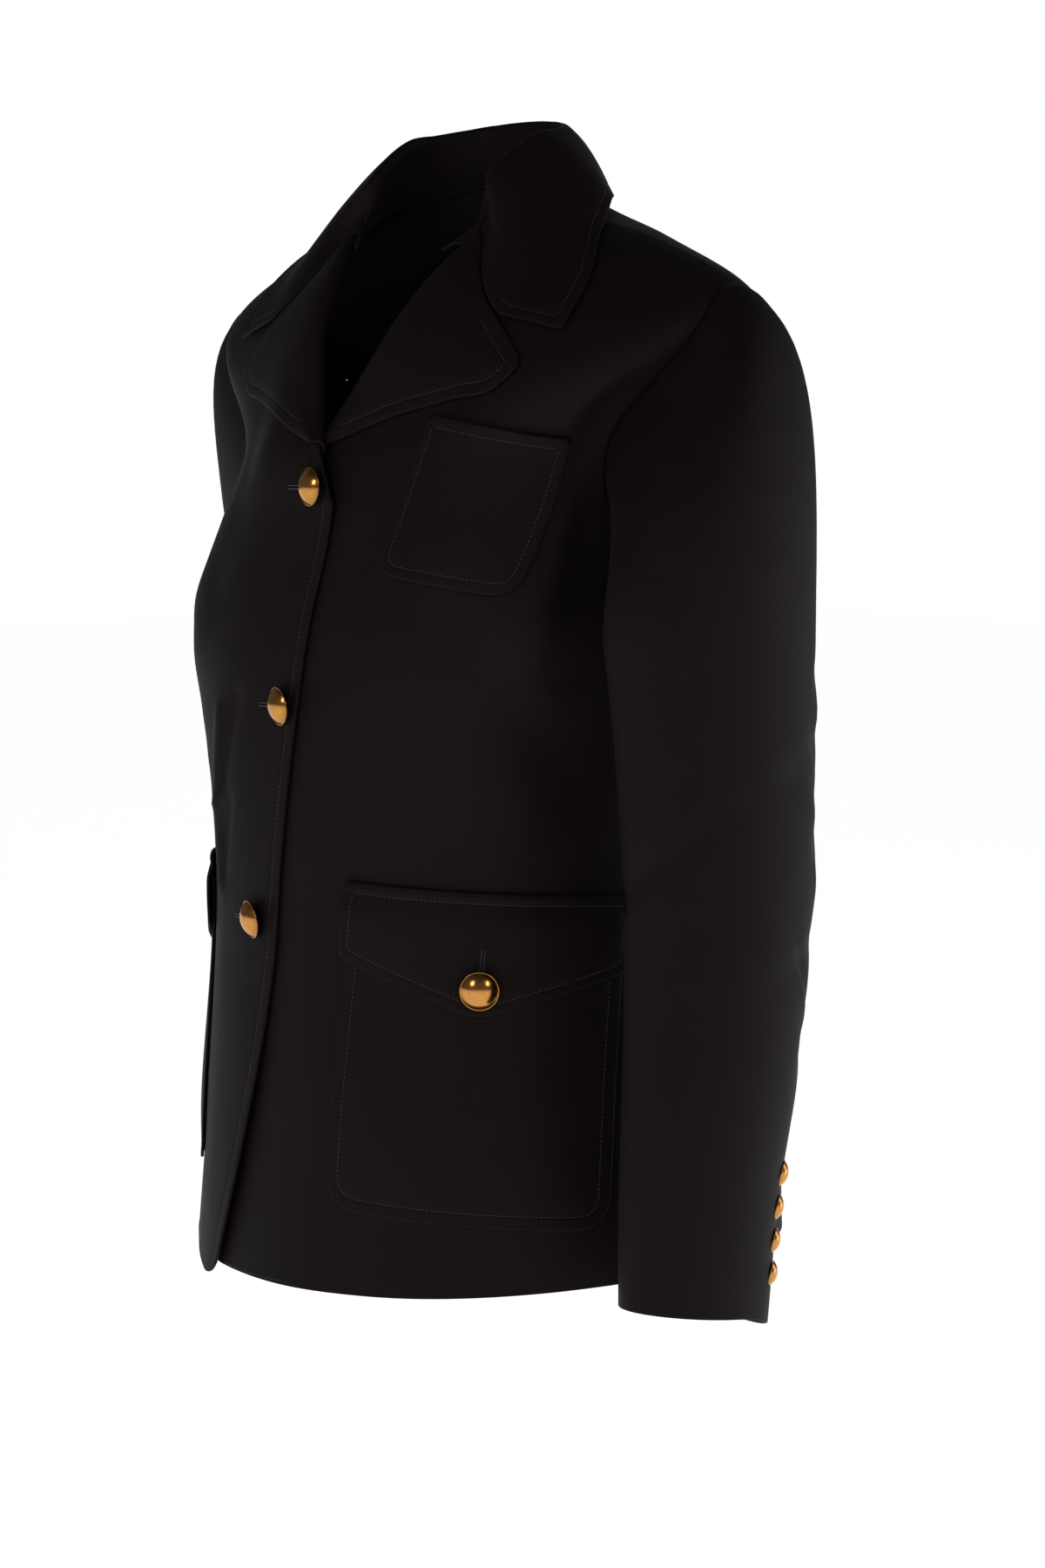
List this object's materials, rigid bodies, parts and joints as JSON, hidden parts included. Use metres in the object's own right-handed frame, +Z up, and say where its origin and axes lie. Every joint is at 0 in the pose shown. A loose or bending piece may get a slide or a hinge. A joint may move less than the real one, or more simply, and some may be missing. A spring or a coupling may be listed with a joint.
{
  "type": "blazer",
  "caption": "Black single-breasted blazer in its worn form, with notched lapels, flapped patch pockets and domed brass buttons.",
  "frame": {"origin": "middle of the neck, level with the side of the neck seam, where the wearer's neck holds the garment", "axes": "+X to the wearer's left, -Y to the wearer's front, +Z up"},
  "size_m": [0.552, 0.3426, 0.6778],
  "materials": {
    "black cloth": "matt fine twill with a slight sheen",
    "antique brass": "aged satin"
  },
  "bodies": {
    "root": {"front_left": "black cloth", "front_right": "black cloth", "back_left": "black cloth", "back_right": "black cloth", "collar": "black cloth", "lapel_left": "black cloth", "lapel_right": "black cloth", "pocket_breast": "black cloth", "pocket_left": "black cloth", "pocket_right": "black cloth", "flap_left": "black cloth", "flap_right": "black cloth", "sleeve_left_top": "black cloth", "sleeve_left_under": "black cloth", "sleeve_right_top": "black cloth", "sleeve_right_under": "black cloth", "button_top": "antique brass", "button_middle": "antique brass", "button_low": "antique brass", "button_flap_left": "antique brass", "button_flap_right": "antique brass", "button_cuff_left_1": "antique brass", "button_cuff_left_2": "antique brass", "button_cuff_left_3": "antique brass", "button_cuff_left_4": "antique brass", "button_cuff_right_1": "antique brass", "button_cuff_right_2": "antique brass", "button_cuff_right_3": "antique brass", "button_cuff_right_4": "antique brass"}
  },
  "joints": []
}
